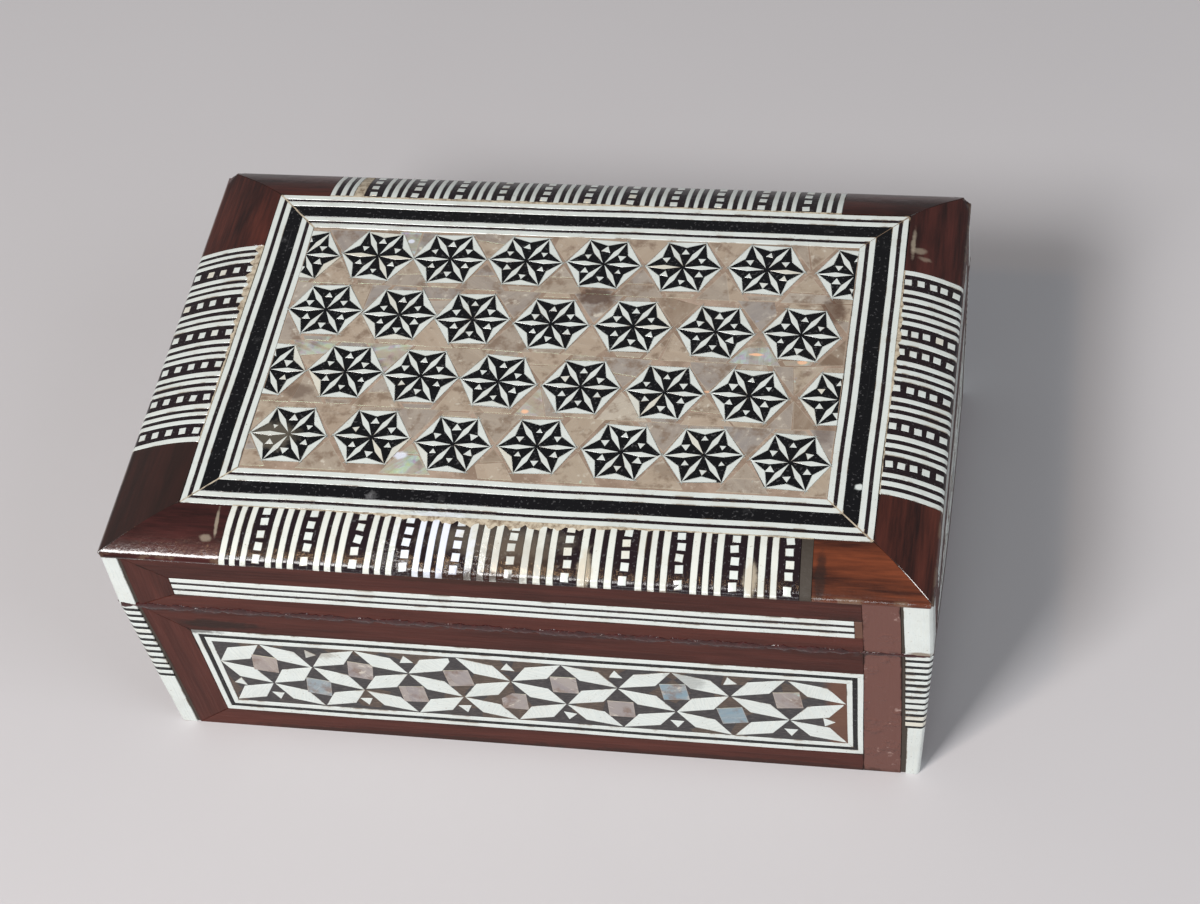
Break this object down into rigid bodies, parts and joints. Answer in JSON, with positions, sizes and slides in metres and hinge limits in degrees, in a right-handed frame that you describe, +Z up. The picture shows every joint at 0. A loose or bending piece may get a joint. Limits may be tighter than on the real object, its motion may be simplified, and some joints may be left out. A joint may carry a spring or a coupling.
{
  "type": "inlaid trinket box",
  "caption": "Rectangular wooden trinket box with star, stripe and mother-of-pearl inlay, a hollow base and a hollow lift-off lid with a convex bevel.",
  "frame": {"origin": "centre of the underside, on the surface the box stands on", "axes": "+Z up, +X along the box to its right end, -Y out of the front face"},
  "size_m": [0.125, 0.0826, 0.0471],
  "materials": {
    "side_wood": "red-brown wood veneer, satin lacquer",
    "bevel_wood": "dark red-brown wood, gloss lacquer",
    "black_wood": "black wood, satin, lightly scratched",
    "bone": "cut bone, satin",
    "line_inlay": "bone lines with thin black wood lines between",
    "striped_inlay": "cross stripes of bone and black wood, gloss lacquer",
    "star_inlay": "bone rhombs on dark horn-like ground, satin",
    "pearl_inlay": "mother-of-pearl pieces and bone and black star rosettes under lacquer"
  },
  "bodies": {
    "root": {"base_carcass": "side_wood", "lid_carcass": "side_wood", "base_front_panel": "star_inlay", "lid_front_lines": "line_inlay", "base_right_panel": "star_inlay", "lid_right_lines": "line_inlay", "base_back_panel": "star_inlay", "lid_back_lines": "line_inlay", "base_left_panel": "star_inlay", "lid_left_lines": "line_inlay", "base_corner_bone_front_left": "bone", "base_corner_stripes_front_left": "striped_inlay", "lid_corner_bone_front_left": "bone", "base_corner_bone_front_right": "bone", "base_corner_stripes_front_right": "striped_inlay", "lid_corner_bone_front_right": "bone", "base_corner_bone_back_right": "bone", "base_corner_stripes_back_right": "striped_inlay", "lid_corner_bone_back_right": "bone", "base_corner_bone_back_left": "bone", "base_corner_stripes_back_left": "striped_inlay", "lid_corner_bone_back_left": "bone", "bevel_stripes_front": "striped_inlay", "bevel_stripes_right": "striped_inlay", "bevel_stripes_back": "striped_inlay", "bevel_stripes_left": "striped_inlay", "bevel_wood_front_at_left": "bevel_wood", "bevel_wood_left_at_front": "bevel_wood", "bevel_wood_front_at_right": "bevel_wood", "bevel_wood_right_at_front": "bevel_wood", "bevel_wood_back_at_right": "bevel_wood", "bevel_wood_right_at_back": "bevel_wood", "bevel_wood_back_at_left": "bevel_wood", "bevel_wood_left_at_back": "bevel_wood", "frame_outer_lines_front": "line_inlay", "frame_black_band_front": "black_wood", "frame_inner_lines_front": "line_inlay", "frame_outer_lines_right": "line_inlay", "frame_black_band_right": "black_wood", "frame_inner_lines_right": "line_inlay", "frame_outer_lines_back": "line_inlay", "frame_black_band_back": "black_wood", "frame_inner_lines_back": "line_inlay", "frame_outer_lines_left": "line_inlay", "frame_black_band_left": "black_wood", "frame_inner_lines_left": "line_inlay", "pearl_mosaic": "pearl_inlay"}
  },
  "joints": []
}
